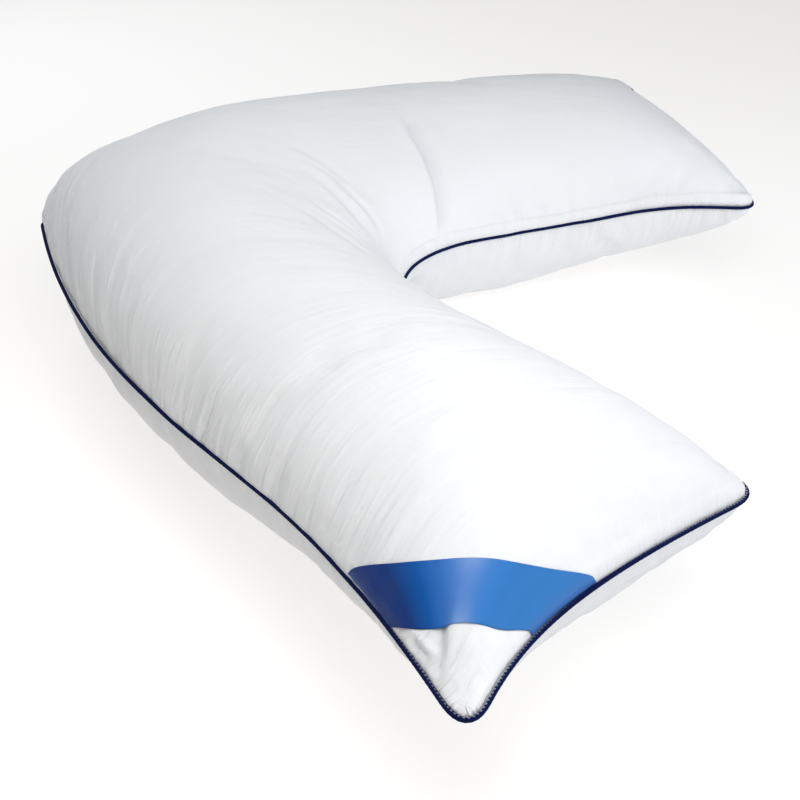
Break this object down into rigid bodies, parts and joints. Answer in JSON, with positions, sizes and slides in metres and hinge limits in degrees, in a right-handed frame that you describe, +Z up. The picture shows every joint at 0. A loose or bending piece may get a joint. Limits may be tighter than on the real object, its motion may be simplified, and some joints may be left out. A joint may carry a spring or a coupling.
{
  "type": "v-shaped support pillow",
  "caption": "Filled V-shaped pillow with a crowned body, a piped seam all the way round and a satin band across one corner.",
  "frame": {"origin": "below the middle of the pillow's box, on the plane it rests on", "axes": "+Z up; the V is symmetric about the XZ plane and opens towards +X; Y runs along its longest extent; the corner band is on the arm towards -Y"},
  "size_m": [0.7201, 1.0522, 0.223],
  "materials": {
    "cloth": "fine white cotton, matt, softly puckered along the seam",
    "piping": "navy covered cord, matt",
    "satin": "royal blue woven satin with a soft sheen"
  },
  "bodies": {
    "root": {"pillow": "cloth", "piping": "piping", "corner_band": "satin"}
  },
  "joints": []
}
